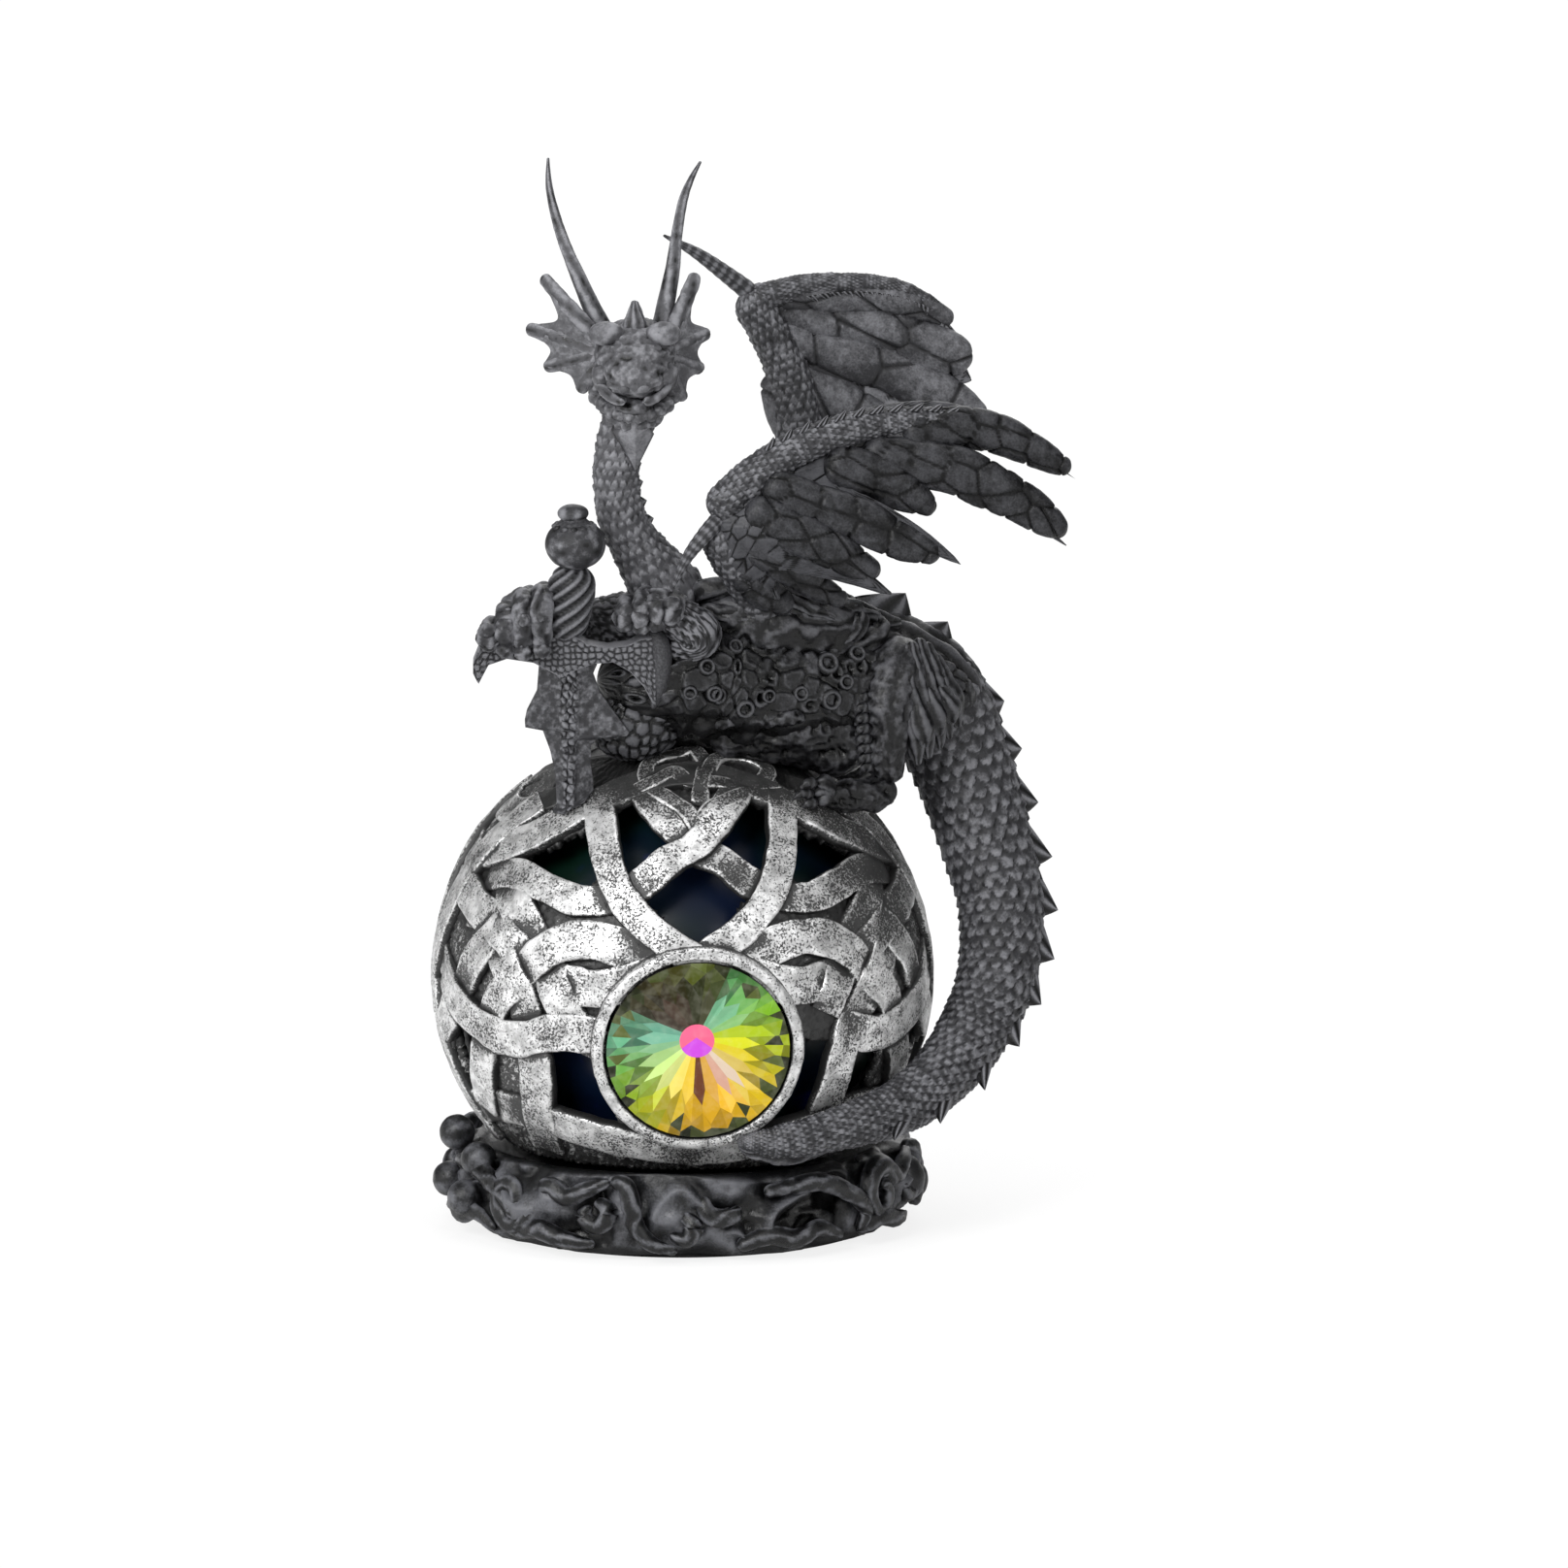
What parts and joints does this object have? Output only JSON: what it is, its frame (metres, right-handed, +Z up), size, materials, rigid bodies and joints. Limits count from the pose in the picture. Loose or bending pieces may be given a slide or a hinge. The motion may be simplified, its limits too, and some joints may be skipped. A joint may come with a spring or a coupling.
{
  "type": "dragon orb figurine",
  "caption": "Cast dragon gripping an upright sword, coiled on an openwork knotwork orb with a faceted gem, an inner globe and a battery lamp in the base.",
  "frame": {"origin": "middle of the base's rest face, on the orb's vertical axis", "axes": "+Z up, front with the gem toward -Y, dragon's tail toward +X"},
  "size_m": [0.1227, 0.0953, 0.2055],
  "materials": {
    "black_resin": "matte charcoal cast resin, dry brushed",
    "antique_silver": "silver paint over black with dark pits",
    "dark_globe": "dark blue-green gloss coat",
    "gem_glass": "faceted coated glass, green to gold with a pink heart",
    "felt": "black felt",
    "white_plastic": "moulded",
    "black_plastic": "moulded",
    "cell_steel": "plated",
    "contact_brass": "spring brass",
    "board": "green board",
    "lamp_lens": "clear lamp"
  },
  "bodies": {
    "figurine": {"base": "black_resin", "base_felt": "felt", "orb_shell_front": "antique_silver", "orb_shell_back": "antique_silver", "inner_globe": "dark_globe", "gem": "gem_glass", "torso": "black_resin", "neck_head": "black_resin", "tail": "black_resin", "wing_near": "black_resin", "wing_far": "black_resin", "wing_claw_near": "black_resin", "wing_claw_far": "black_resin", "horn_left": "black_resin", "horn_right": "black_resin", "sword": "black_resin", "light_housing": "white_plastic", "light_floor": "white_plastic", "coin_cells": "cell_steel", "led_board": "board", "led_lamp": "lamp_lens", "switch_body": "black_plastic", "floor_screws": "cell_steel"},
    "door": {"battery_door": "white_plastic", "door_spring": "contact_brass"},
    "slider": {"switch_slider": "black_plastic"}
  },
  "joints": [
    {"name": "battery_door_turn", "type": "hinge", "parent": "figurine", "child": "door", "pos_m": [0, 0, 0.0014], "axis": [0, 0, 1], "range_deg": [0, 30]},
    {"name": "switch_slide", "type": "slide", "parent": "figurine", "child": "slider", "axis": [1, 0, 0], "range_m": [0, 0.002]}
  ]
}
